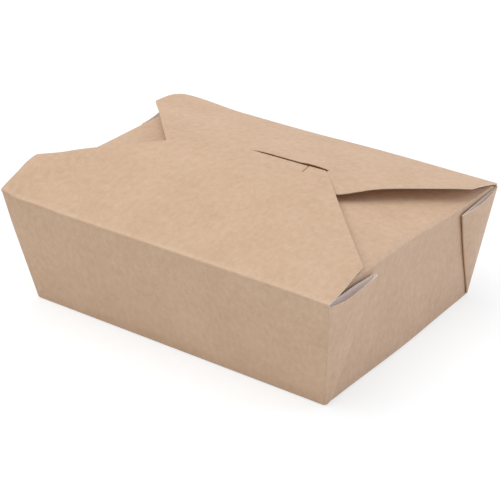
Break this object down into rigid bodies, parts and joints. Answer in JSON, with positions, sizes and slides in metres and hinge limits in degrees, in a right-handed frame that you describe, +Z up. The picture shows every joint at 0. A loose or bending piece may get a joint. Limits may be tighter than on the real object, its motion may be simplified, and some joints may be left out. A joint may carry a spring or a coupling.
{
  "type": "takeaway box",
  "caption": "Folded kraft board food box with tapered walls, glued corner webs and a tuck-in lid flap.",
  "frame": {"origin": "middle of the underside, on the surface that the box stands on", "axes": "+X along the long side, +Y from the front wall with the lid crease to the rear wall, +Z up"},
  "size_m": [0.2204, 0.162, 0.0805],
  "materials": {
    "kraft_board": "uncoated brown kraft outside, matt white inside"
  },
  "bodies": {
    "carton": {"carton": "kraft_board"},
    "front_flap": {"front_flap": "kraft_board"}
  },
  "joints": [
    {"name": "front_flap_crease", "type": "hinge", "parent": "carton", "child": "front_flap", "pos_m": [0, -0.08077, 0.06578], "axis": [1, 0, 0], "range_deg": [0, 180]}
  ]
}
